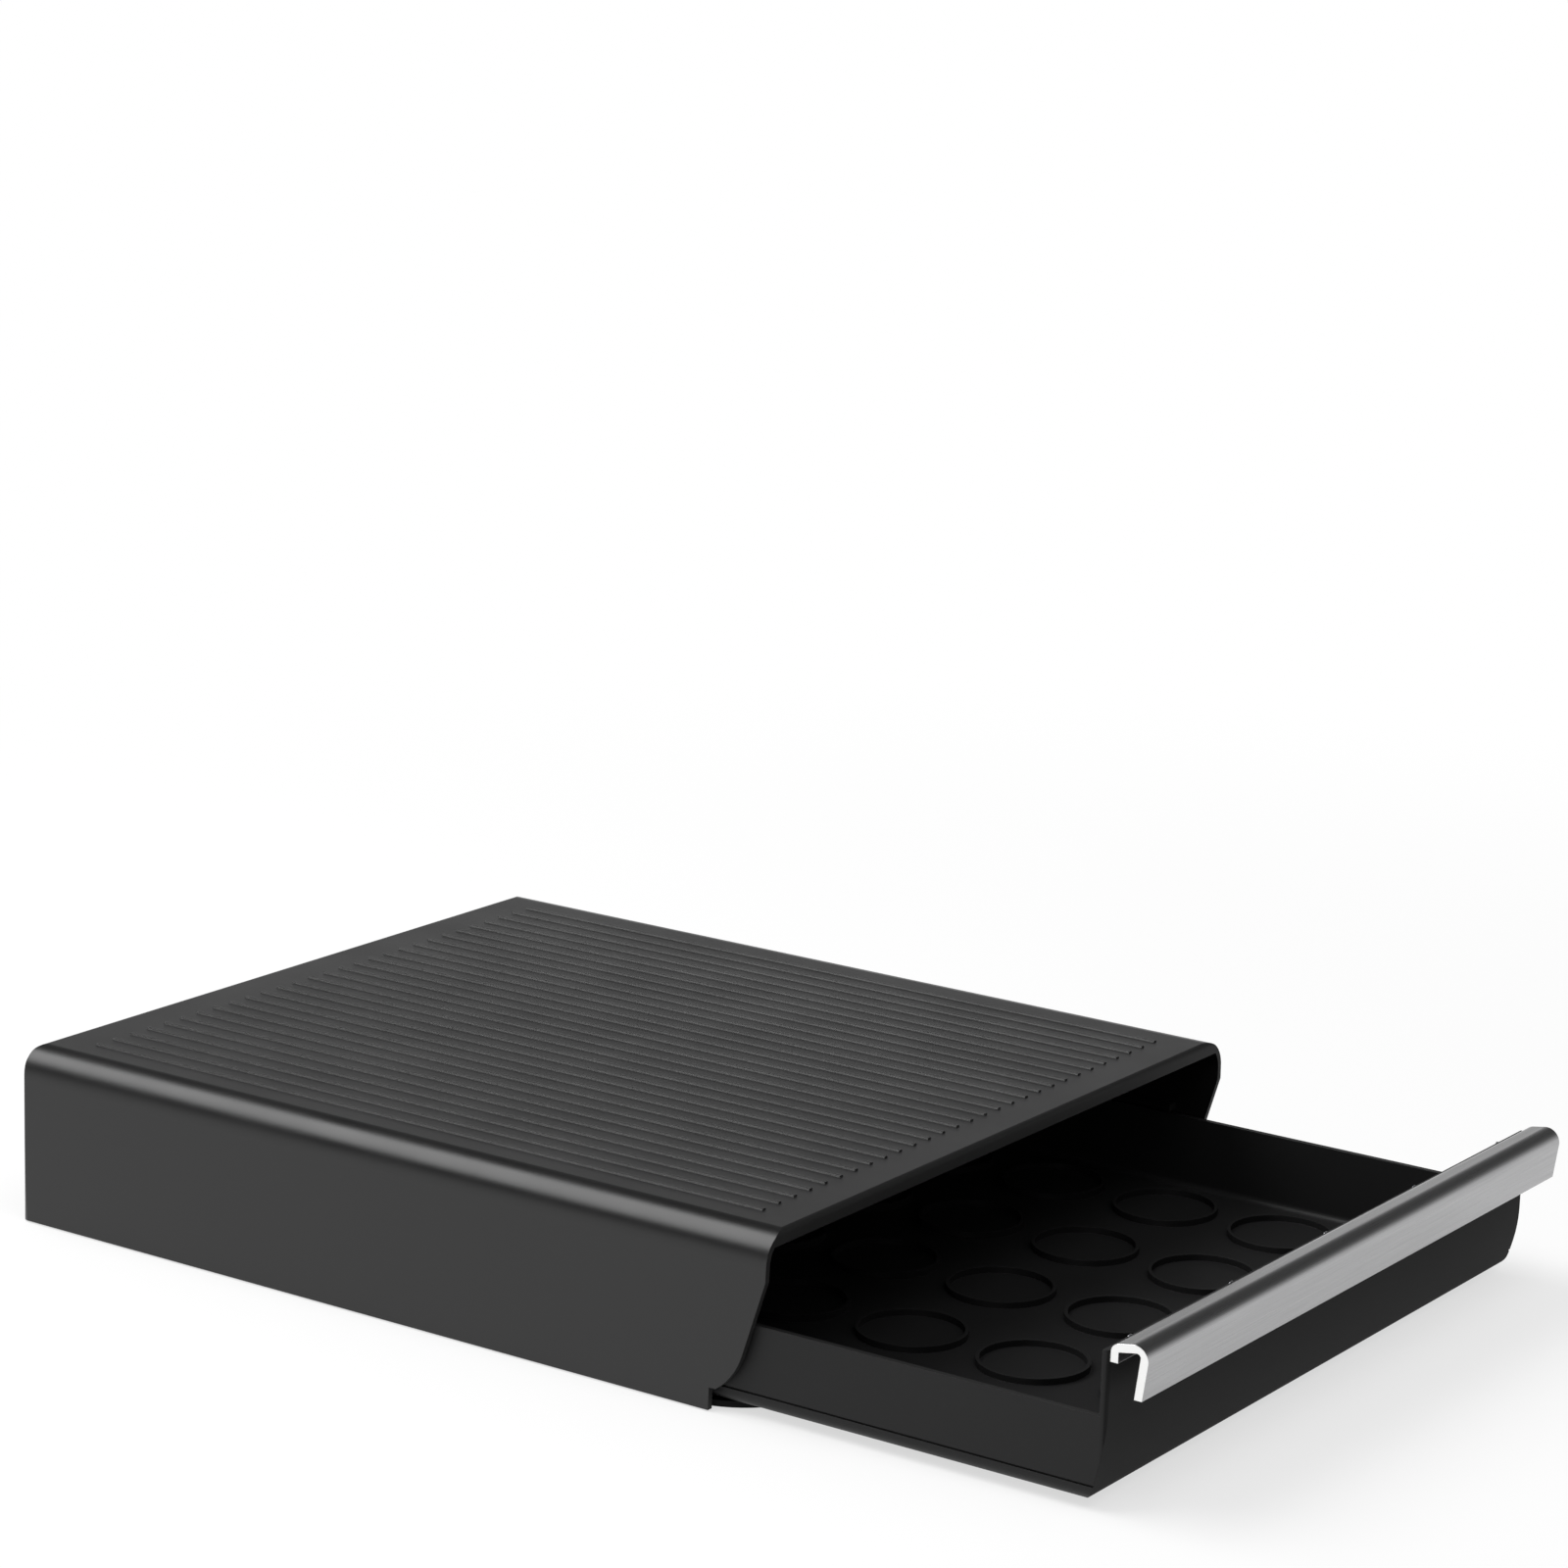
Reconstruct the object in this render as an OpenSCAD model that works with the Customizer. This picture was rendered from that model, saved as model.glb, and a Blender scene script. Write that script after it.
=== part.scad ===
// Countertop drawer for single-serve coffee pods.
// A moulded housing stands on four rubber feet and carries a coffee machine on its top.
// A moulded tray with a metal pull slides out of its front on the base plate.
// X runs to the right, Y to the back and Z up. The origin lies on the table, at the middle
// of the box round the whole part with its tray pulled out by rest_open.

/* [Housing] */
// Width across the side faces where the long top edges begin
body_w = 320; // [300:1:360]
// Depth from the front edge of the top to the back edge
body_d = 350; // [335:1:400]
// Height of the crowns of the grip ribs above the table
body_h = 69.5; // [69:0.5:80]
// Wall thickness of the housing
wall = 2.4; // [2:0.1:2.8]
// How far each side stands out further at its foot than at its top
side_draft = 1.5; // [0.5:0.1:2.5]
// Radius of the two long top edges
edge_r = 12; // [10:0.5:14]
// Radius of the front and back edges of the top
front_r = 2; // [1:0.25:2.5]
// Radius of the upright back corners
corner_r = 4; // [3:0.5:5]
// Depth of the front edge of the top, measured down from the plain surface
lip_h = 5.4; // [4:0.2:6]

/* [Side outline] */
// Height up to which the front edge of a side leans
nose_z = 52; // [48:0.5:58]
// Lean of the front edge of a side, in degrees from upright
side_lean = 16.5; // [10:0.5:20]
// Height at which that edge starts to curve backwards
knee_z = 24; // [20:0.5:27]
// Radius of that curve
knee_r = 28; // [26:1:40]
// Height of the set-back strip at the foot of a side
strip_h = 9; // [7:0.5:11]
// Step from the end of the curve back to that strip
strip_step = 2.7; // [1:0.1:4]

/* [Grip ribs] */
// Number of raised ribs that run from front to back on the top
grip_count = 29; // [15:2:33]
// Height of these ribs
grip_h = 0.5; // [0.3:0.1:0.8]
// Width of a rib at its foot
grip_w = 2.2; // [2:0.1:4]
// Width of its flat crown
grip_crown_w = 1.6; // [0.6:0.1:1.8]
// Plain border between the ribs and the front and back edges
grip_border_y = 17.5; // [10:0.5:40]
// Distance from a side face to the middle of the first rib
grip_border_x = 23.5; // [19:0.5:40]

/* [Stiffening ribs] */
// Depth of the ribs under the top
rib_h = 3; // [2:0.2:4]
// Thickness of the ribs under the top
rib_t = 2; // [1.6:0.1:2.6]
// Distance between the two ribs that run from front to back
rib_gap_x = 160; // [100:5:220]
// Distance between the three ribs that run from side to side
rib_gap_y = 80; // [50:5:100]

/* [Anti-tip ledges] */
// Width of the ledge inside each side
ledge_w = 4.5; // [3.6:0.1:6]
// Thickness of that ledge
ledge_t = 2.6; // [2:0.1:4]

/* [Base plate] */
// Thickness of the base plate
base_t = 2.4; // [2:0.1:3]
// Radius of its front corners, seen from above
base_corner_r = 34; // [15:1:45]
// Gap between the base plate and the sides
base_gap = 0.3; // [0.2:0.05:0.5]
// Length of each snap tab
tab_l = 14; // [10:1:20]
// How far each snap tab reaches into its side
tab_w = 1.2; // [0.9:0.1:1.3]
// Number of snap tabs on each side
tab_count = 4; // [3:1:6]

/* [Feet] */
// Diameter of each foot
foot_d = 18; // [12:1:24]
// How far the feet stand below the base plate
foot_proud = 0.6; // [0.4:0.1:1]
// How deep the feet sit in the base plate
foot_seat = 1; // [0.6:0.1:1.3]
// Distance from a foot's centre to the front or back of the housing
foot_in_y = 32; // [28:1:60]
// Distance from a foot's centre to the side face
foot_in_x = 32; // [28:1:60]

/* [Back panel] */
// Thickness of the back panel
back_t = 2.4; // [2:0.1:3]
// Side length of the screw bosses
boss_w = 8; // [7:0.5:9]
// Height of the lower screws
boss_z_low = 14; // [12:1:24]
// Height of the upper screws
boss_z_high = 50; // [46:1:52]

/* [Tray] */
// Wall thickness of the tray
tray_wall = 2.4; // [2:0.1:2.8]
// Floor thickness of the tray
tray_floor = 2.4; // [2:0.1:3]
// Height of the low side and back walls above the table
tray_wall_z = 34.6; // [30:0.5:38]
// Height of the front panel above the table
panel_z = 58; // [54:0.2:58.4]
// Gap between the tray and each side, at the top
tray_gap_x = 0.5; // [0.4:0.1:1]
// Gap between the tray and the base plate
tray_gap_z = 0.2; // [0.1:0.05:0.4]
// Space kept behind the closed tray
tray_back_space = 14; // [13:0.5:20]
// Radius of the tray's bottom edges
tray_r = 5; // [3.5:0.5:7]
// Radius of the front panel's upright corners
panel_r = 2; // [1:0.25:4]
// Height of the groove along each side of the tray, from the tray's underside to its middle
groove_z = 6.1; // [5.5:0.1:8]
// Width and depth of that groove
groove_w = 0.8; // [0.4:0.1:1]
// Gap between the tray's low walls and the ledges above them
ledge_gap = 1.2; // [0.5:0.1:2]
// Distance from the front panel's back to the front ends of the ledges, when the tray is shut
ledge_back = 2.4; // [1:0.1:6]
// Height at which the front panel starts to curve backwards
belly_z = 34; // [30:1:40]
// Radius of that curve
belly_r = 85; // [60:1:95]

/* [Pod rings] */
// Distance between pods from side to side
pod_pitch_x = 61.5; // [54:0.5:70]
// Distance between pods from front to back
pod_pitch_y = 52; // [52:0.5:60]
// Inner diameter of the low ring that holds the foot of a pod
ring_d = 39; // [38:0.5:42]
// Wall of that ring
ring_wall = 1.4; // [1:0.1:2]
// Height of that ring
ring_h = 2.5; // [1.5:0.1:4]

/* [Handle] */
// Distance from the front of the handle to the front panel
handle_d = 14.5; // [12.5:0.5:17]
// How far the handle stands out of the housing when the tray is shut
handle_proud = 0.5; // [0:0.1:3]
// Height of the handle's lower edge above the table
handle_z_low = 42.8; // [40:0.2:46]
// Thickness of the handle's walls
handle_t = 3; // [2.4:0.1:3.2]
// Radius of the handle's upper front edge
handle_r = 5.5; // [4.5:0.1:6]
// Radius of the inner corner below that edge
handle_in_r = 1.5; // [1:0.1:2]
// Radius of the handle's upper back edge
handle_back_r = 3.6; // [3.4:0.1:3.8]
// How steeply the handle's top rises towards its front, in degrees
handle_tilt = 10; // [2:1:11]
// How far the front of the handle leans back at its lower edge
handle_lean = 1.8; // [0.4:0.1:2.5]
// How far the handle's rear lip, screwed to the front panel, reaches below its top web
lip_drop = 4; // [3.8:0.1:5]
// Gap between the ends of the handle and the housing, at the handle's top
handle_end_gap = 0.4; // [0.3:0.1:1]

/* [Screws] */
// Number of screws that hold the handle
handle_screw_count = 5; // [3:1:7]
// Distance from an end screw to the end of the handle
handle_screw_in = 18; // [12:1:30]
// Shank diameter of the handle screws
handle_screw_d = 2.4; // [2:0.1:2.4]
// Shank diameter of the back panel screws
back_screw_d = 3; // [2.5:0.1:3.4]
// Length of the back panel screws below the head
back_screw_l = 9; // [7:0.5:10]

/* [Stop pegs] */
// Diameter of each peg
peg_d = 6; // [4:0.5:8]
// Diameter of its head
peg_head_d = 12; // [10:0.5:14]
// Thickness of its head
peg_head_t = 1.6; // [1.2:0.1:2.4]
// Gap round a peg in the tray's floor
peg_gap = 0.15; // [0.05:0.05:0.3]
// Gap between a peg and the edges of its slot
slot_gap = 0.6; // [0.3:0.1:1]
// Distance from the peg's centre to the outside of the tray's back wall
peg_in_y = 16; // [12:1:24]

/* [Fits] */
// Gap round the back panel and the snap tabs, and between the shut tray and the bosses
fit_gap = 0.2; // [0.1:0.05:0.4]
// Gap round each screw shank
screw_gap = 0.05; // [0.03:0.01:0.1]
// Gap round each foot in its seat
foot_gap = 0.1; // [0.05:0.05:0.3]

/* [Motion] */
// How far the tray is pulled out in the model
rest_open = 150; // [100:1:160]
// How far the tray can be pulled out in all
full_open = 280; // [240:1:284]

/* [Hidden] */

$fn = 64;
// Overlap that makes a cut or a joint clean
eps = 0.01;
// How far a cutting shape runs past what it cuts
past = 5;
// Flat steps along each large curve
steps = 16;
plastic = "#2a2a2c";
plastic_dark = "#1e1e20";
metal = "#c4c6c9";
screw_metal = "#8f9195";
rubber = "#151515";

// Housing
side_foot_z = foot_proud;
top_z = body_h - grip_h;
edge_z = top_z - edge_r;
knee_y = (nose_z - knee_z) * tan(side_lean);
knee_cy = knee_y + knee_r * cos(side_lean);
knee_cz = knee_z + knee_r * sin(side_lean);
knee_end = asin((knee_cz - strip_h) / knee_r);
strip_y = knee_cy - knee_r * cos(knee_end) + strip_step;
lip_z = top_z - lip_h;
under_z = top_z - wall;
grip_pitch = (body_w - 2 * grip_border_x) / (grip_count - 1);

// Base plate
base_z = side_foot_z;
base_top = base_z + base_t;

// Tray, with y measured in the shut position
tray_z = base_top + tray_gap_z;
tray_half = body_w / 2 - wall - tray_gap_x;
tray_back = body_d - tray_back_space;
panel_y = handle_d - handle_proud;
belly_cy = panel_y + belly_r;
tray_floor_z = tray_z + tray_floor;
tray_in_half = tray_half - tray_wall;
tray_in_front = heel_y(tray_floor_z + tray_r - tray_wall);
tray_in_back = tray_back - tray_wall;

// Anti-tip ledges: just above the tray's walls, and behind the shut front panel
ledge_z = tray_wall_z + ledge_gap;
ledge_y = panel_y + tray_wall + ledge_back;

// Back panel
back_y = body_d - back_t - back_screw_d * 0.6;
boss_l = tray_back_space - (body_d - back_y) - 2 * fit_gap;

// Handle: its sloping top is a plane that touches the roundings of both upper edges
handle_back_cz = panel_z + handle_t - handle_back_r;
handle_front_cz = handle_back_cz + (handle_back_r - handle_r
    + (handle_d - handle_back_r - handle_r) * sin(handle_tilt)) / cos(handle_tilt);
handle_top = handle_front_cz + handle_r;
handle_room = body_w / 2 - edge_r
    + sqrt(pow(edge_r - wall, 2) - pow(max(0, handle_top - edge_z), 2));
handle_half = min(tray_half, handle_room - handle_end_gap);
handle_front = panel_y - handle_d;
lip_z_low = panel_z - lip_drop;
handle_screw_z = panel_z - lip_drop / 2;
handle_screw_head_d = handle_screw_d * 1.6;
handle_screw_head_t = handle_screw_d * 0.35;
handle_screw_pitch = 2 * (handle_half - handle_screw_in) / (handle_screw_count - 1);

// Pod rings
pod_cols = floor(2 * tray_in_half / pod_pitch_x);
pod_rows = floor((tray_in_back - tray_in_front + (ring_d - ring_wall) / 10) / pod_pitch_y);
pod_front = tray_in_back - pod_rows * pod_pitch_y;

// Stop pegs: halfway between two columns of pods
peg_x = pod_pitch_x * (pod_cols % 2 == 1 ? 0.5 : 1);
peg_y = tray_back - peg_in_y;
peg_low = base_z + base_t * 0.25;

// Middle of the box round the open part
mid_y = (body_d + handle_front - rest_open) / 2;

// Half width of the housing at height z, a distance t in from its face
function side_x(z, t) = body_w / 2 - t + side_draft * (edge_z - z) / edge_z;

// Points of an arc about [cx, cy], its angles counted from +X towards +Y
function arc(cx, cy, r, from, to) =
    [for (i = [0 : steps]) let (a = from + (to - from) * i / steps) [cx + r * cos(a), cy + r * sin(a)]];

// Distance back to the centre of the tray's front heel, whose height is z
function heel_y(z) = belly_cy - sqrt(pow(belly_r - tray_r, 2) - pow(belly_z - z, 2));

// Moves what stands in the housing's own frame to the part's origin
module placed() {
    translate([0, -mid_y, 0]) children();
}

// Moves what belongs to the tray from its shut place to the modelled one
module pulled_out() {
    placed() translate([0, -rest_open, 0]) children();
}

// Carries an outline in X and Z from y0 to y1
module along_y(y0, y1) {
    translate([0, y1, 0]) rotate([90, 0, 0]) linear_extrude(y1 - y0) children();
}

// Carries an outline in Y and Z across the width, half to each side
module across_x(half) {
    translate([-half, 0, 0]) rotate([90, 0, 90]) linear_extrude(2 * half) children();
}

// Section of the housing across its width, a distance t in from its outside
module housing_section(t, z_low) {
    r = edge_r - min(t, edge_r - 1);
    x_top = body_w / 2 - t;
    polygon([[-side_x(z_low, t), z_low], [side_x(z_low, t), z_low], [x_top, edge_z], [-x_top, edge_z]]);
    translate([-x_top + r, edge_z - eps]) square([2 * (x_top - r), top_z - t - edge_z + eps]);
    translate([-x_top, edge_z - eps]) square([2 * x_top, top_z - t - r - edge_z + eps]);
    for (s = [-1, 1]) translate([s * (x_top - r), top_z - t - r]) circle(r);
}

// Outline of a side: upright nose, leaning edge, curved knee and set-back foot strip
module side_outline() {
    polygon(concat(
        [[0, top_z - front_r], [0, nose_z]],
        arc(knee_cy, knee_cz, knee_r, 180 + side_lean, 180 + knee_end),
        [[strip_y, strip_h], [strip_y, side_foot_z], [body_d, side_foot_z],
         [body_d, top_z - front_r], [body_d - front_r, top_z], [front_r, top_z]]));
    for (y = [front_r, body_d - front_r]) translate([y, top_z - front_r]) circle(front_r);
}

// Outline of the housing from above, with its rounded back corners
module plan_outline() {
    half = side_x(0, 0) + past;
    back_half = side_x(0, 0);
    translate([-half, -past]) square([2 * half, body_d - corner_r + past]);
    translate([-back_half + corner_r, 0]) square([2 * (back_half - corner_r), body_d]);
    for (s = [-1, 1]) translate([s * (back_half - corner_r), body_d - corner_r]) circle(corner_r);
}

// Inside of the housing behind its front lip
module housing_cavity() {
    along_y(wall, body_d + past) intersection() {
        housing_section(wall, -past);
        translate([-body_w, -past]) square([2 * body_w, under_z + past]);
    }
    along_y(-past, wall + eps) intersection() {
        housing_section(wall, -past);
        translate([-body_w, -past]) square([2 * body_w, lip_z + past]);
    }
}

// Raised ribs on the top, which keep what stands there from sliding
module grip_ribs() {
    for (i = [0 : grip_count - 1]) translate([-body_w / 2 + grip_border_x + i * grip_pitch, 0, 0])
        along_y(grip_border_y, body_d - grip_border_y)
            polygon([[-grip_w / 2, top_z - eps], [grip_w / 2, top_z - eps],
                     [grip_crown_w / 2, body_h], [-grip_crown_w / 2, body_h]]);
}

// Ribs under the top
module top_ribs() {
    rib_back = back_y - fit_gap;
    for (s = [-1, 1]) translate([s * rib_gap_x / 2 - rib_t / 2, wall - eps, under_z - rib_h])
        cube([rib_t, rib_back - wall, rib_h + eps]);
    for (i = [-1 : 1]) translate([0, body_d / 2 + i * rib_gap_y - rib_t / 2, under_z - rib_h])
        translate([-body_w / 2 + edge_r, 0, 0]) cube([body_w - 2 * edge_r, rib_t, rib_h + eps]);
}

// Ledge inside each side that keeps the pulled-out tray from tipping
module ledges() {
    for (s = [0, 1]) mirror([s, 0, 0]) along_y(ledge_y, back_y - fit_gap) {
        x0 = side_x(ledge_z + ledge_t, wall) - ledge_w;
        polygon([[x0, ledge_z], [side_x(ledge_z, wall) + eps, ledge_z],
                 [side_x(ledge_z + ledge_t, wall) + eps, ledge_z + ledge_t], [x0, ledge_z + ledge_t]]);
    }
}

// Calls its children at the four back panel screws
module at_back_screws() {
    for (s = [-1, 1], z = [boss_z_low, boss_z_high])
        translate([s * (side_x(z, wall) - boss_w / 2), back_y, z]) rotate([90, 0, 0]) children();
}

// Screw bosses in the back corners
module bosses() {
    at_back_screws() translate([-boss_w / 2 - side_draft / 2, -boss_w / 2, fit_gap])
        cube([boss_w + side_draft, boss_w, boss_l]);
}

// Calls its children at each snap tab, with +X towards the side
module at_tabs() {
    pitch = (body_d - 2 * strip_y) / tab_count;
    for (s = [0, 1], i = [0 : tab_count - 1]) mirror([s, 0, 0])
        translate([0, strip_y + pitch * (i + 0.5), base_z]) children();
}

// Block of a snap tab, or its pocket with a gap g all round
module tab(g) {
    x_in = side_x(base_top, wall) - base_gap - tab_w;
    translate([x_in, -tab_l / 2 - g, base_t * 0.3 - g])
        cube([tab_w + base_gap + tab_w + g, tab_l + 2 * g, base_t * 0.5 + 2 * g]);
}

// Top and sides in one moulding, open at the front, the back and below
module housing() {
    color(plastic) placed() difference() {
        union() {
            difference() {
                intersection() {
                    along_y(-eps, body_d + eps) housing_section(0, -eps);
                    across_x(side_x(0, 0) + past) side_outline();
                    linear_extrude(body_h + past) plan_outline();
                }
                housing_cavity();
            }
            grip_ribs();
            top_ribs();
            intersection() {
                union() {
                    ledges();
                    bosses();
                }
                along_y(0, body_d) housing_section(wall / 2, 0);
            }
        }
        at_tabs() tab(fit_gap);
        at_back_screws() translate([0, 0, -past])
            cylinder(d = back_screw_d + 2 * screw_gap, h = back_screw_l + past + 1);
    }
}

// Panel that closes the back, held by four screws
module back_panel() {
    color(plastic_dark) placed() difference() {
        along_y(back_y, back_y + back_t) intersection() {
            housing_section(wall + fit_gap, side_foot_z + fit_gap);
            translate([-body_w, side_foot_z + fit_gap])
                square([2 * body_w, under_z - side_foot_z - 2 * fit_gap]);
        }
        at_back_screws() translate([0, 0, -past]) cylinder(d = back_screw_d + 4 * screw_gap, h = 2 * past);
    }
}

// One back panel screw, its head behind the panel
module back_screw() {
    head_t = back_screw_d * 0.6;
    difference() {
        translate([0, 0, -back_t - head_t]) cylinder(d = back_screw_d * 1.9, h = head_t);
        for (a = [0, 90]) rotate(a) translate([-back_screw_d * 0.55, -0.4, -back_t - head_t - eps])
            cube([back_screw_d * 1.1, 0.8, head_t * 0.6]);
    }
    translate([0, 0, -back_t - eps]) cylinder(d = back_screw_d, h = back_t + back_screw_l - back_t + eps);
}

// The four screws of the back panel
module back_panel_screws() {
    color(screw_metal) placed() at_back_screws() back_screw();
}

// Outline of the base plate from above
module base_outline() {
    half = side_x(base_top, wall) - base_gap;
    plate_back = back_y - fit_gap;
    translate([-half, base_corner_r]) square([2 * half, plate_back - base_corner_r]);
    translate([-half + base_corner_r, 0]) square([2 * (half - base_corner_r), plate_back]);
    for (s = [-1, 1]) translate([s * (half - base_corner_r), base_corner_r]) circle(base_corner_r);
}

// Slot in which a stop peg travels
module peg_slot() {
    r = peg_d / 2 + slot_gap;
    y_shut = peg_y;
    y_out = peg_y - full_open;
    translate([-r, y_out]) square([2 * r, y_shut - y_out]);
    translate([0, y_out]) circle(r);
    translate([0, y_shut]) circle(r);
}

// Calls its children at the centre of a foot: sx is -1 or 1 for left or right, sy is 0 or 1 for front or back
module at_foot(sx, sy) {
    translate([sx * (body_w / 2 - foot_in_x), sy == 0 ? foot_in_y : body_d - foot_in_y, 0]) children();
}

// Floor of the housing, snapped in between its sides; the tray slides on it
module base_plate() {
    color(plastic_dark) placed() {
        difference() {
            translate([0, 0, base_z]) linear_extrude(base_t) base_outline();
            for (s = [-1, 1]) translate([s * peg_x, 0, base_z - past])
                linear_extrude(base_t + 2 * past) peg_slot();
            for (sx = [-1, 1], sy = [0, 1]) at_foot(sx, sy) translate([0, 0, base_z - past])
                cylinder(d = foot_d + 2 * foot_gap, h = foot_seat + past);
        }
        at_tabs() tab(0);
    }
}

// Rubber foot, glued into its seat under the base plate
module foot(sx, sy) {
    chamfer = foot_proud / 2;
    color(rubber) placed() at_foot(sx, sy) {
        cylinder(d1 = foot_d - 2 * chamfer, d2 = foot_d, h = chamfer);
        translate([0, 0, chamfer - eps]) cylinder(d = foot_d, h = foot_proud + foot_seat - chamfer + eps);
    }
}

// Section of the tray across its width, a distance t in from its outside and z_low its underside
module tray_section(t, z_low) {
    half = tray_half - t;
    r = tray_r - t;
    translate([-half, z_low + r]) square([2 * half, body_h]);
    translate([-half + r, z_low]) square([2 * (half - r), body_h]);
    for (s = [-1, 1]) translate([s * (half - r), z_low + r]) circle(r);
}

// Outline of the tray from the side: upright panel, curved belly and rounded heels
module tray_outline(t, z_low, z_top) {
    r = tray_r - t;
    heel_z = z_low + r;
    heel_angle = asin((belly_z - heel_z) / (belly_r - tray_r));
    polygon(concat(
        [[panel_y + t, z_top]],
        arc(belly_cy, belly_z, belly_r - t, 180, 180 + heel_angle),
        arc(heel_y(heel_z), heel_z, r, 180 + heel_angle, 270),
        arc(tray_back - tray_r, heel_z, r, 270, 360),
        [[tray_back - t, z_top]]));
}

// Outline of the tray from above, its front corners rounded
module tray_plan() {
    translate([-tray_half, panel_y + panel_r]) square([2 * tray_half, tray_back]);
    translate([-tray_half + panel_r, panel_y]) square([2 * (tray_half - panel_r), tray_back]);
    for (s = [-1, 1]) translate([s * (tray_half - panel_r), panel_y + panel_r]) circle(panel_r);
}

// Hollow or solid body of the tray, a distance t in from its outside
module tray_form(t, z_low, z_top) {
    intersection() {
        along_y(0, body_d) tray_section(t, z_low);
        across_x(body_w) tray_outline(t, z_low, z_top);
    }
}

// Calls its children at the foot of each pod
module at_pods() {
    for (i = [0 : pod_cols - 1], j = [0 : pod_rows - 1])
        translate([(i - (pod_cols - 1) / 2) * pod_pitch_x, pod_front + (j + 0.5) * pod_pitch_y, tray_floor_z])
            children();
}

// Calls its children at each handle screw, with +Z out of the front
module at_handle_screws() {
    for (i = [0 : handle_screw_count - 1])
        translate([(i - (handle_screw_count - 1) / 2) * handle_screw_pitch, panel_y, handle_screw_z])
            rotate([90, 0, 0]) children();
}

// Tray in one moulding: floor, low grooved walls, tall front panel and the rings for the pods
module tray() {
    color(plastic) pulled_out() {
        difference() {
            intersection() {
                tray_form(0, tray_z, panel_z);
                linear_extrude(body_h) tray_plan();
            }
            tray_form(tray_wall, tray_floor_z, body_h + past);
            translate([-body_w, panel_y + tray_wall, tray_wall_z]) cube([2 * body_w, body_d, body_h]);
            for (s = [-1, 1]) along_y(0, body_d) translate([s * tray_half, tray_z + groove_z])
                square([2 * groove_w, groove_w], center = true);
            for (s = [-1, 1]) translate([s * peg_x, peg_y, tray_z - past])
                cylinder(d = peg_d + 2 * peg_gap, h = tray_floor + 2 * past);
            at_handle_screws() translate([0, 0, -past])
                cylinder(d = handle_screw_d + 4 * screw_gap, h = 2 * past);
        }
        at_pods() translate([0, 0, -eps]) linear_extrude(ring_h + eps) difference() {
            circle(d = ring_d + 2 * ring_wall);
            circle(d = ring_d);
        }
    }
}

// Height of the underside of the handle's sloping top
function handle_under(y) = handle_back_cz + (handle_back_r - handle_t) / cos(handle_tilt)
    + (panel_y - handle_back_r - y) * tan(handle_tilt);

// Profile of the handle: sloping top, leaning front wall and short rear lip
module handle_outline() {
    y_in = handle_front + handle_t;
    y_lip = panel_y - handle_t;
    in_cy = y_in + handle_in_r;
    in_cz = handle_under(in_cy) - handle_in_r / cos(handle_tilt);
    polygon(concat(
        [[panel_y, lip_z_low]],
        arc(panel_y - handle_back_r, handle_back_cz, handle_back_r, 0, 90 - handle_tilt),
        arc(handle_front + handle_r, handle_front_cz, handle_r, 90 - handle_tilt, 180),
        [[handle_front + handle_lean, handle_z_low], [y_in + handle_lean, handle_z_low]],
        arc(in_cy, in_cz, handle_in_r, 180, 90 - handle_tilt),
        [[y_lip, handle_under(y_lip)], [y_lip, lip_z_low]]));
}

// Metal pull, cut from an extruded profile and screwed to the front panel
module handle() {
    color(metal) pulled_out() difference() {
        across_x(handle_half) handle_outline();
        at_handle_screws() translate([0, 0, -past])
            cylinder(d = handle_screw_d + 2 * screw_gap, h = handle_t + 1 + past);
    }
}

// One handle screw, its head inside the tray
module handle_screw() {
    difference() {
        translate([0, 0, -tray_wall - handle_screw_head_t])
            cylinder(d = handle_screw_head_d, h = handle_screw_head_t);
        for (a = [0, 90]) rotate(a)
            translate([-handle_screw_d * 0.45, -0.3, -tray_wall - handle_screw_head_t - eps])
                cube([handle_screw_d * 0.9, 0.6, handle_screw_head_t * 0.6]);
    }
    translate([0, 0, -tray_wall - eps])
        cylinder(d = handle_screw_d, h = tray_wall + handle_t - screw_gap + eps);
}

// The screws of the handle
module handle_screws() {
    color(screw_metal) pulled_out() at_handle_screws() handle_screw();
}

// Peg pushed through the tray's floor into its slot in the base plate
module stop_peg(s) {
    color(plastic_dark) pulled_out() translate([s * peg_x, peg_y, 0]) {
        translate([0, 0, peg_low]) cylinder(d = peg_d, h = tray_floor_z - peg_low + eps);
        translate([0, 0, tray_floor_z]) cylinder(d1 = peg_head_d, d2 = peg_head_d - 1, h = peg_head_t);
    }
}

housing();
back_panel();
base_plate();
foot(-1, 0);  // front_left_foot
foot(1, 0);  // front_right_foot
foot(-1, 1);  // back_left_foot
foot(1, 1);  // back_right_foot
back_panel_screws();
tray();
handle();
handle_screws();
stop_peg(-1);  // left_stop_peg
stop_peg(1);  // right_stop_peg
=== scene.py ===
import math

import bpy
from mathutils import Matrix, Vector


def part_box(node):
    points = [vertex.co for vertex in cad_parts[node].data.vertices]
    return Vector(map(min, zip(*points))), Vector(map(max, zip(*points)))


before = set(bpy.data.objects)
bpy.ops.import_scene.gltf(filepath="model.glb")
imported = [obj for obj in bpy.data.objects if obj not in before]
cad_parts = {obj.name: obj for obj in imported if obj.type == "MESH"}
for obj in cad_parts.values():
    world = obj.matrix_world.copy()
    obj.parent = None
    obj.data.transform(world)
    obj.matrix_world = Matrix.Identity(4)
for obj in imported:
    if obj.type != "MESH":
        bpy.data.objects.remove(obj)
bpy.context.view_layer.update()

# ---------------------------------------------------------------- camera
# A long lens stands at the front left, about 1.8 metres away, and looks down on the half
# open drawer. It leans over by nearly two degrees.
CAMERA_AT = Vector((-1.4410, -0.9694, 0.5942))
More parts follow.
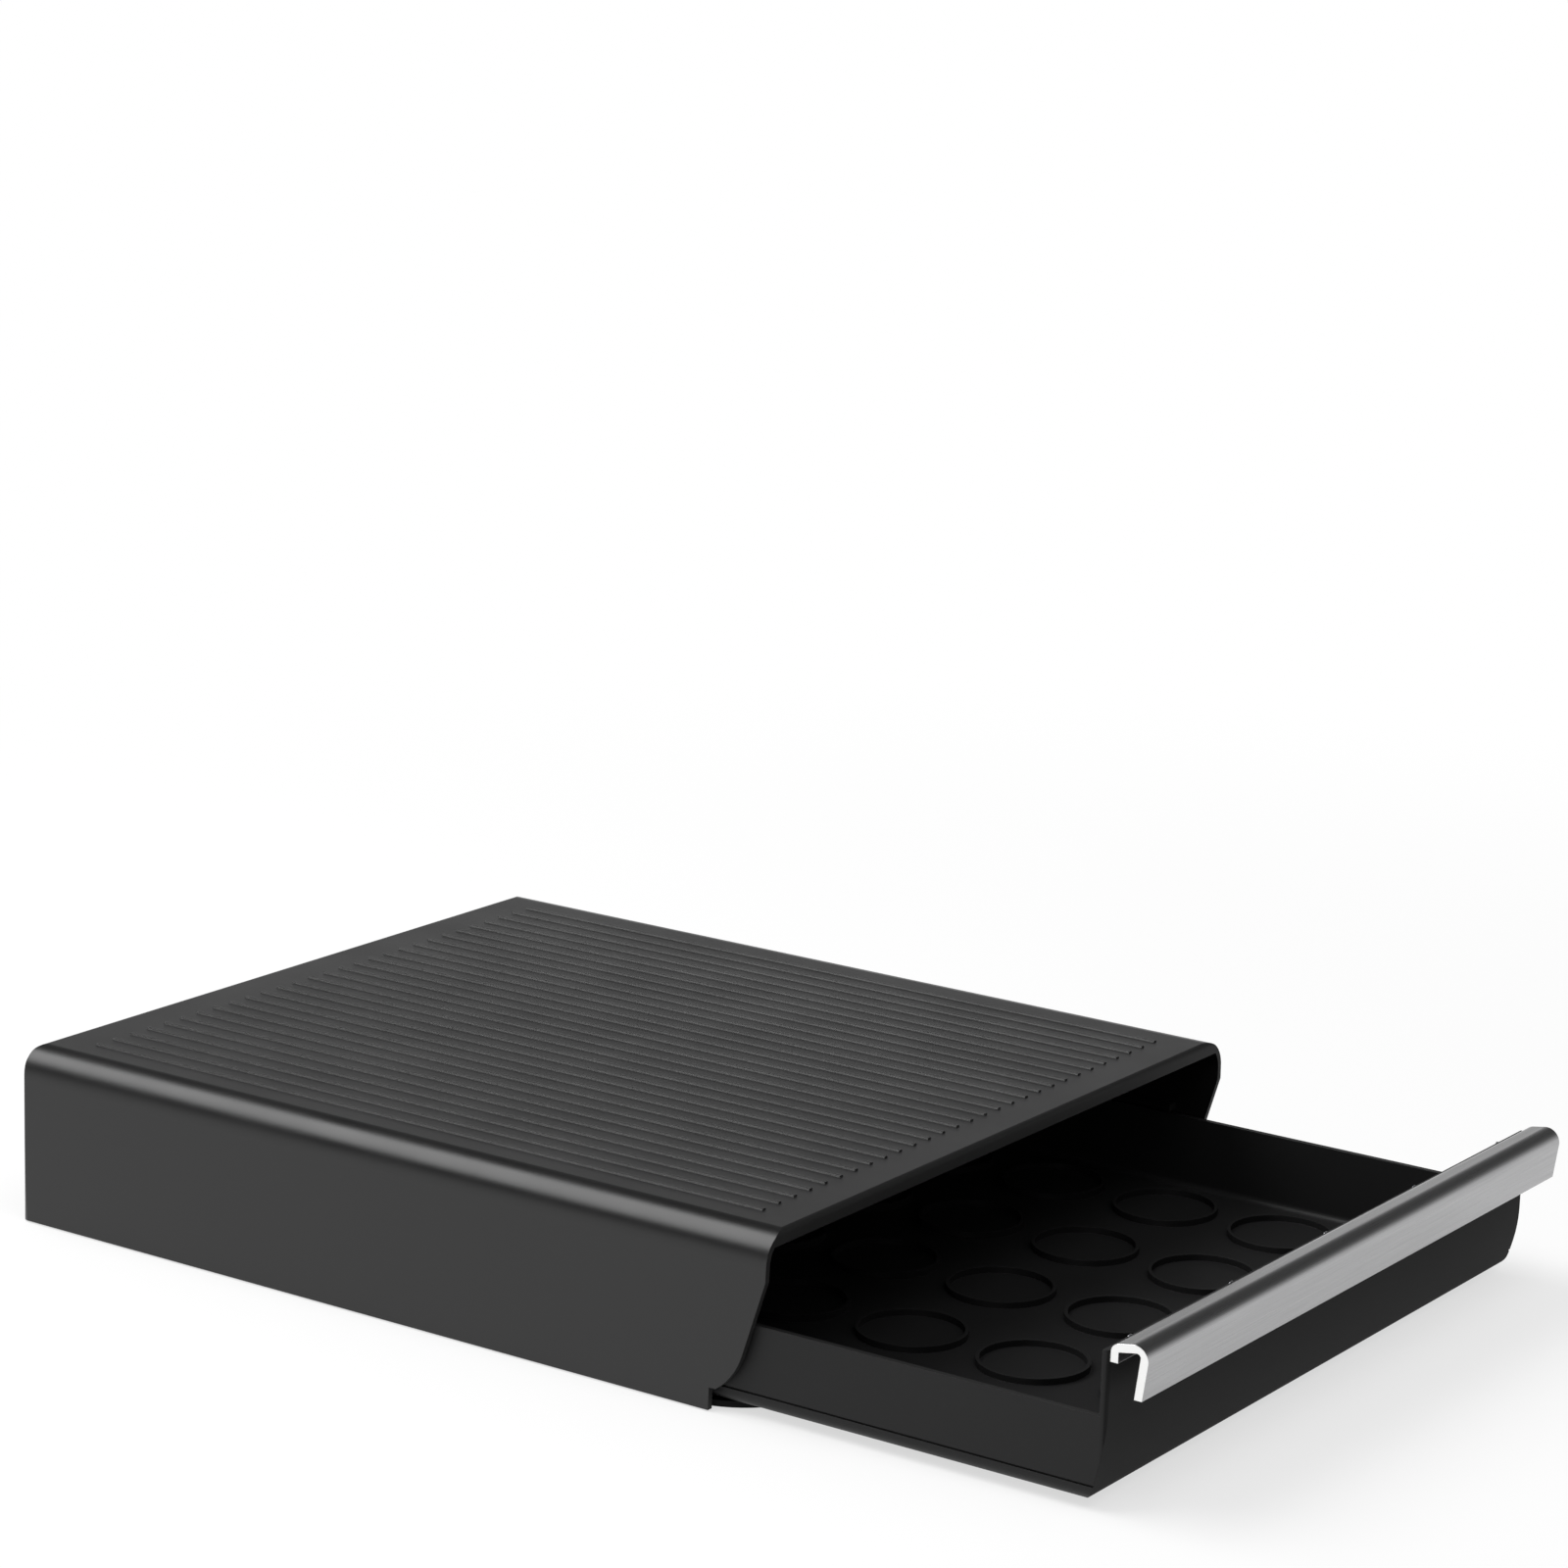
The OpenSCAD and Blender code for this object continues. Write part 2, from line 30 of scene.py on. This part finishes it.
CAMERA_YAW = math.radians(55.864)
CAMERA_PITCH = math.radians(13.244)
CAMERA_ROLL = math.radians(1.799)
CAMERA_LENS = 108.16
CAMERA_SENSOR = 36
CAMERA_NEAREST = 0.05
CAMERA_FARTHEST = 50

ahead = Vector((math.sin(CAMERA_YAW) * math.cos(CAMERA_PITCH),
                math.cos(CAMERA_YAW) * math.cos(CAMERA_PITCH),
                -math.sin(CAMERA_PITCH)))
level_right = Vector((math.cos(CAMERA_YAW), -math.sin(CAMERA_YAW), 0))
level_up = level_right.cross(ahead)
right = math.cos(CAMERA_ROLL) * level_right + math.sin(CAMERA_ROLL) * level_up
up = math.cos(CAMERA_ROLL) * level_up - math.sin(CAMERA_ROLL) * level_right
turn = Matrix((right, up, -ahead)).transposed().to_4x4()

camera = bpy.data.objects.new("camera", bpy.data.cameras.new("camera"))
camera.data.lens = CAMERA_LENS
camera.data.sensor_width = CAMERA_SENSOR
camera.data.clip_start = CAMERA_NEAREST
camera.data.clip_end = CAMERA_FARTHEST
camera.matrix_world = Matrix.Translation(CAMERA_AT) @ turn
bpy.context.scene.collection.objects.link(camera)
bpy.context.scene.camera = camera
bpy.context.scene.view_settings.view_transform = "Standard"

# ---------------------------------------------------------------- base plate
# The floor of the housing is a flat plate of black plastic, snapped in between the sides.
# It is moulded with a plain coarse grain, because the tray hides most of it.
MM = 0.001
BASE_BLACK = (0.006, 0.006, 0.0062, 1)
CLOUD_SIZE = 40 * MM
CLOUD_COLOUR = 0.12
CLOUD_ROUGHNESS = 0.04
CLOUD_DETAIL = 4
SKIN_DETAIL = 2
NOISE_MIDDLE = (0.25, 0.75)
CORNER_SAMPLES = 4


def new_finish(name):
    """An empty material of that name: its node tree and its shader."""
    finish = bpy.data.materials.new(name)
    finish.use_nodes = True
    return finish, finish.node_tree, finish.node_tree.nodes["Principled BSDF"]


def put(tree, part, socket):
    """Gives a socket a plain value, or links another socket to it."""
    if isinstance(part, bpy.types.NodeSocket):
        tree.links.new(part, socket)
    else:
        socket.default_value = part


def grain(tree, size, detail, stretch=(1, 1, 1)):
    """Noise whose grains are size metres across, stretched along each axis by that factor.
    It reads Object coordinates, so it is fixed to the piece."""
    place = tree.nodes.new("ShaderNodeTexCoord")
    scaled = tree.nodes.new("ShaderNodeMapping")
    scaled.inputs["Scale"].default_value = [1 / (size * s) for s in stretch]
    noise = tree.nodes.new("ShaderNodeTexNoise")
    noise.inputs["Scale"].default_value = 1
    noise.inputs["Detail"].default_value = detail
    tree.links.new(place.outputs["Object"], scaled.inputs["Vector"])
    tree.links.new(scaled.outputs["Vector"], noise.inputs["Vector"])
    return noise.outputs["Fac"]


def rescale(tree, value, before, after=(0, 1), smooth=False):
    """The range before of a value mapped onto the range after and held at its ends: in a
    straight line, or as 3t^2 - 2t^3 where smooth is true."""
    ramp = tree.nodes.new("ShaderNodeMapRange")
    ramp.interpolation_type = "SMOOTHSTEP" if smooth else "LINEAR"
    for name, limit in zip(("From Min", "From Max", "To Min", "To Max"), (*before, *after)):
        ramp.inputs[name].default_value = limit
    tree.links.new(value, ramp.inputs["Value"])
    return ramp.outputs["Result"]


def blend(tree, factor, first, second, kind="RGBA"):
    """first where the factor is 0, second where it is 1, and a straight mix between them."""
    mix = tree.nodes.new("ShaderNodeMix")
    mix.data_type = kind
    for name, part in (("Factor", factor), ("A", first), ("B", second)):
        put(tree, part, mix.inputs[name])
    return mix.outputs["Result"]


def raise_skin(tree, shader, height, distance, edge):
    """Lifts the skin by distance where height is 1, and eases corners to a radius of edge."""
    rounded = tree.nodes.new("ShaderNodeBevel")
    rounded.samples = CORNER_SAMPLES
    rounded.inputs["Radius"].default_value = edge
    bump = tree.nodes.new("ShaderNodeBump")
    bump.inputs["Distance"].default_value = distance
    tree.links.new(height, bump.inputs["Height"])
    tree.links.new(rounded.outputs["Normal"], bump.inputs["Normal"])
    tree.links.new(bump.outputs["Normal"], shader.inputs["Normal"])


def moulded_plastic(name, colour, roughness, grain_size, grain_height, edge=0.3 * MM, shine=0.3):
    """Black moulded plastic. A fine even grain lifts the skin by grain_height. Clouds of
    CLOUD_SIZE make the colour uneven by the share CLOUD_COLOUR, up and down, and the roughness
    by CLOUD_ROUGHNESS."""
    finish, tree, shader = new_finish(name)
    shader.inputs["Specular IOR Level"].default_value = shine
    clouds = grain(tree, CLOUD_SIZE, CLOUD_DETAIL)
    deep, pale = (tuple(c * share for c in colour[:3]) + (1,)
                  for share in (1 - CLOUD_COLOUR, 1 + CLOUD_COLOUR))
    rough = (roughness - CLOUD_ROUGHNESS, roughness + CLOUD_ROUGHNESS)
    tree.links.new(blend(tree, clouds, deep, pale), shader.inputs["Base Color"])
    tree.links.new(rescale(tree, clouds, NOISE_MIDDLE, rough), shader.inputs["Roughness"])
    raise_skin(tree, shader, grain(tree, grain_size, SKIN_DETAIL), grain_height, edge)
    return finish


def finish_node(node, finish):
    """Gives a piece of the frame its finish."""
    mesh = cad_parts[node].data
    mesh.materials.clear()
    mesh.materials.append(finish)


finish_node("base_plate", moulded_plastic("base_plate_plastic", BASE_BLACK, roughness=0.7,
                                          grain_size=0.9 * MM, grain_height=0.03 * MM,
                                          shine=0.12))

# ---------------------------------------------------------------- feet
# Four discs of black rubber are glued into shallow seats under the base plate.
# They stand 0.6 mm proud of it and keep the drawer from sliding on the table.
RUBBER_BLACK = (0.01, 0.01, 0.01, 1)

foot_rubber = moulded_plastic("foot_rubber", RUBBER_BLACK, roughness=0.85,
                              grain_size=0.5 * MM, grain_height=0.02 * MM)
for foot in ("front_left_foot", "front_right_foot", "back_left_foot", "back_right_foot"):
    finish_node(foot, foot_rubber)

# ---------------------------------------------------------------- housing
# Top and sides are one moulding in satin black plastic, with a fine grain all over.
# Its long top edges are well rounded. Its faces that look to the front are rougher, and their
# darker colour is painted shade. Low ribs run from front to back on the top, so that a coffee
# machine doesn't slide on it.
HOUSING_BLACK = (0.007, 0.007, 0.0071, 1)
# The colour of the housing's front faces below is painted shade, darker than the plastic.
LIP_PAINTED_SHADE = (0.001, 0.001, 0.001, 1)
DULL = 0.75
FRONT_WITHIN = math.radians(40)
FRONT_UP_TO = math.radians(70)


def component(tree, kind, axis):
    """One axis of a Texture Coordinate of that kind."""
    place = tree.nodes.new("ShaderNodeTexCoord")
    split = tree.nodes.new("ShaderNodeSeparateXYZ")
    tree.links.new(place.outputs[kind], split.inputs["Vector"])
    return split.outputs[axis]


def dull_and_shade_front(finish, colour, roughness):
    """Gives the faces that look to the front, along -Y, a higher roughness and a darker colour
    that is painted shade. Both are full where the faces turn from -Y by less than FRONT_WITHIN,
    fading out up to FRONT_UP_TO."""
    tree = finish.node_tree
    shader = tree.nodes["Principled BSDF"]
    front = rescale(tree, component(tree, "Normal", "Y"),
                    (-math.cos(FRONT_UP_TO), -math.cos(FRONT_WITHIN)), smooth=True)
    # The colour set here is painted shade; the roughness is a real rougher finish.
    for name, kind, shade_and_dullness in (("Base Color", "RGBA", colour), ("Roughness", "FLOAT", roughness)):
        plain = shader.inputs[name].links[0].from_socket
        tree.links.new(blend(tree, front, plain, shade_and_dullness, kind), shader.inputs[name])
    return finish


housing_plastic = moulded_plastic("housing_plastic", HOUSING_BLACK, roughness=0.33,
                                  grain_size=0.5 * MM, grain_height=0.004 * MM,
                                  edge=0.4 * MM, shine=0.5)
# Its front faces get a higher roughness and the painted shade above.
finish_node("housing", dull_and_shade_front(housing_plastic, LIP_PAINTED_SHADE, DULL))

# ---------------------------------------------------------------- back panel and its screws
# A flat black panel closes the back of the housing, level with its edges.
# Four plated screws with cross heads hold it to the bosses in the corners.
SCREW_GREY = (0.42, 0.42, 0.44, 1)
SCREW_DARK = (0.28, 0.28, 0.3, 1)
SCREW_ROUGHNESS = (0.42, 0.3)
SCREW_MOTTLE = 1.5 * MM
MOTTLE_DETAIL = 4

finish_node("back_panel", moulded_plastic("back_panel_plastic", BASE_BLACK, roughness=0.55,
                                          grain_size=0.8 * MM, grain_height=0.02 * MM))


def plated_steel(name):
    """Zinc-plated screw steel: mottled from dark and rough to grey and smoother."""
    finish, tree, shader = new_finish(name)
    mottle = grain(tree, SCREW_MOTTLE, MOTTLE_DETAIL)
    rough = rescale(tree, mottle, NOISE_MIDDLE, SCREW_ROUGHNESS)
    tree.links.new(blend(tree, mottle, SCREW_DARK, SCREW_GREY), shader.inputs["Base Color"])
    tree.links.new(rough, shader.inputs["Roughness"])
    shader.inputs["Metallic"].default_value = 1
    return finish


screw_steel = plated_steel("plated_screw_steel")
finish_node("back_panel_screws", screw_steel)

# ---------------------------------------------------------------- tray
# The tray is one satin black moulding: a floor with rings for the pods, low grooved walls with
# rounded lower edges, and a tall front panel that curves back under. Its front is rougher, and
# its darker colour there is painted shade.
TRAY_BLACK = (0.014, 0.014, 0.0142, 1)
# The colour of the tray's front faces below is painted shade, darker than the plastic.
PANEL_PAINTED_SHADE = (0.005, 0.005, 0.0051, 1)

tray_plastic = moulded_plastic("tray_plastic", TRAY_BLACK, roughness=0.45,
                               grain_size=0.5 * MM, grain_height=0.006 * MM, shine=0.2)
# Its front faces get a higher roughness and the painted shade above.
finish_node("tray", dull_and_shade_front(tray_plastic, PANEL_PAINTED_SHADE, DULL))

# ---------------------------------------------------------------- stop pegs
# Two black pegs are pushed down through the tray's floor into slots in the base plate.
# They are moulded smooth, because they slide along the edges of the slots.
peg_plastic = moulded_plastic("peg_plastic", BASE_BLACK, roughness=0.35,
                              grain_size=0.8 * MM, grain_height=0.004 * MM)
finish_node("left_stop_peg", peg_plastic)
finish_node("right_stop_peg", peg_plastic)

# ---------------------------------------------------------------- handle
# The pull is cut from a C-shaped aluminium extrusion. Its faces are brushed along their
# length, and its two cut ends are bright and left open.
HANDLE_SILVER = (0.445, 0.445, 0.45, 1)
HANDLE_GREY = (0.34, 0.34, 0.345, 1)
HANDLE_CUT = (0.95, 0.95, 0.94, 1)
HANDLE_ROUGHNESS = (0.32, 0.26)
HANDLE_EDGE = 0.4 * MM
CUT_FROM = 0.075 * MM
CUT_FULL = 0.025 * MM
BRUSH_WIDTH = 0.2 * MM
BRUSH_HEIGHT = 0.002 * MM
BRUSH_STRETCH = (200, 1, 1)
BRUSH_DETAIL = 4


def reckon(tree, operation, *parts):
    """A Math node on one to three parts, each a value or a socket."""
    step = tree.nodes.new("ShaderNodeMath")
    step.operation = operation
    for part, socket in zip(parts, step.inputs):
        put(tree, part, socket)
    return step.outputs["Value"]


def brushed_aluminium(name, high):
    """Satin aluminium with long fine grains along X that change its colour, its roughness and
    its height. Towards its ends, at -high and high in X, it turns into a bright saw cut."""
    finish, tree, shader = new_finish(name)
    brushing = grain(tree, BRUSH_WIDTH, BRUSH_DETAIL, BRUSH_STRETCH)
    tint = blend(tree, rescale(tree, brushing, NOISE_MIDDLE), HANDLE_GREY, HANDLE_SILVER)
    cut = rescale(tree, reckon(tree, "ABSOLUTE", component(tree, "Object", "X")),
                  (high - CUT_FROM, high - CUT_FULL), smooth=True)
    rough = rescale(tree, brushing, NOISE_MIDDLE, HANDLE_ROUGHNESS)
    tree.links.new(blend(tree, cut, tint, HANDLE_CUT), shader.inputs["Base Color"])
    tree.links.new(rough, shader.inputs["Roughness"])
    raise_skin(tree, shader, brushing, BRUSH_HEIGHT, HANDLE_EDGE)
    shader.inputs["Metallic"].default_value = 1
    return finish


_, handle_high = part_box("handle")
finish_node("handle", brushed_aluminium("brushed_aluminium", handle_high.x))

# ---------------------------------------------------------------- handle screws
# Five small plated screws go from inside the front panel into the rear lip of the handle.
# Their heads are flat, so that the pods of the front row stand clear of them.
finish_node("handle_screws", screw_steel)

# ---------------------------------------------------------------- table
# The drawer stands on a plain white table. Away from the drawer the table runs on into the
# white of the background, and near the drawer it keeps the drawer's shadow.
TABLE_WHITE = (0.88, 0.88, 0.88, 1)
TABLE_ROUGHNESS = 0.8
TABLE_SHINE = 0.1
TABLE_HALF = 6.0
TABLE_NEAR = 0.3
TABLE_FAR = 1.1
TABLE_GLOW_NEAR = 0.65
TABLE_GLOW_FAR = 1.0


def seen_or_mirrored(tree):
    """1 for camera rays and for glossy and transmission rays, 0 for all others."""
    path = tree.nodes.new("ShaderNodeLightPath")
    value = path.outputs["Is Camera Ray"]
    for kind in ("Is Glossy Ray", "Is Transmission Ray"):
        value = reckon(tree, "MAXIMUM", value, path.outputs[kind])
    return value


def table_paint():
    """Matt white. What is seen or mirrored of it is mixed with plain white, by TABLE_GLOW_NEAR
    within TABLE_NEAR of its middle, rising to TABLE_GLOW_FAR at a distance of TABLE_FAR."""
    finish, tree, shader = new_finish("table_white")
    shader.inputs["Base Color"].default_value = TABLE_WHITE
    shader.inputs["Roughness"].default_value = TABLE_ROUGHNESS
    shader.inputs["Specular IOR Level"].default_value = TABLE_SHINE
    place = tree.nodes.new("ShaderNodeTexCoord")
    distance = tree.nodes.new("ShaderNodeVectorMath")
    distance.operation = "LENGTH"
    tree.links.new(place.outputs["Object"], distance.inputs[0])
    glow = rescale(tree, distance.outputs["Value"], (TABLE_NEAR, TABLE_FAR),
                   (TABLE_GLOW_NEAR, TABLE_GLOW_FAR), smooth=True)
    plain = tree.nodes.new("ShaderNodeEmission")
    mix = tree.nodes.new("ShaderNodeMixShader")
    tree.links.new(reckon(tree, "MULTIPLY", glow, seen_or_mirrored(tree)), mix.inputs["Fac"])
    tree.links.new(shader.outputs["BSDF"], mix.inputs[1])
    tree.links.new(plain.outputs["Emission"], mix.inputs[2])
    tree.links.new(mix.outputs["Shader"], tree.nodes["Material Output"].inputs["Surface"])
    return finish


def table_top():
    """A flat square about the origin, 2 * TABLE_HALF wide, at the height of the feet."""
    mesh = bpy.data.meshes.new("table")
    corners = [(-TABLE_HALF, -TABLE_HALF, 0), (TABLE_HALF, -TABLE_HALF, 0),
               (TABLE_HALF, TABLE_HALF, 0), (-TABLE_HALF, TABLE_HALF, 0)]
    mesh.from_pydata(corners, [], [(0, 1, 2, 3)])
    mesh.materials.append(table_paint())
    return mesh


table = bpy.data.objects.new("table", table_top())
bpy.context.scene.collection.objects.link(table)

# ---------------------------------------------------------------- light
# The studio is white at the level of the table and fades to a dark ceiling. A large soft lamp
# hangs at the back left, where it draws the light band along the housing's long edge.
# A second one hangs at the front, above the camera, and fills the shadows.
SKY_LOW = 0.0
SKY_HIGH = 0.42
SKY_WHITE = 1.0
SKY_DARK = 0.06
SKY_SOFT = 0.4


def studio_sky():
    """What is seen or mirrored fades smoothly from SKY_WHITE to SKY_DARK while the sine of its
    elevation rises from SKY_LOW to SKY_HIGH. All other light from the sky is an even SKY_SOFT."""
    world = bpy.data.worlds.new("studio")
    bpy.context.scene.world = world
    world.use_nodes = True
    tree = world.node_tree
    fade = rescale(tree, component(tree, "Generated", "Z"), (SKY_LOW, SKY_HIGH),
                   (SKY_WHITE - SKY_SOFT, SKY_DARK - SKY_SOFT), smooth=True)
    strength = reckon(tree, "MULTIPLY_ADD", seen_or_mirrored(tree), fade, SKY_SOFT)
    sky = tree.nodes["Background"]
    sky.inputs["Color"].default_value = (1, 1, 1, 1)
    tree.links.new(strength, sky.inputs["Strength"])


def soft_lamp(name, at, aim, width, height, power):
    """A rectangular soft lamp at one point that faces another."""
    lamp = bpy.data.lights.new(name, "AREA")
    lamp.shape = "RECTANGLE"
    lamp.size = width
    lamp.size_y = height
    lamp.energy = power
    held = bpy.data.objects.new(name, lamp)
    held.location = at
    held.rotation_euler = (Vector(aim) - Vector(at)).to_track_quat("-Z", "Y").to_euler()
    bpy.context.scene.collection.objects.link(held)


studio_sky()
soft_lamp("left_lamp", at=(-0.8, 1.55, 2.3), aim=(0, 0.05, 0.05), width=2.4, height=2.0,
          power=70)
soft_lamp("front_lamp", at=(-0.6, -0.9, 2.4), aim=(0, 0, 0), width=1.6, height=1.6, power=18)
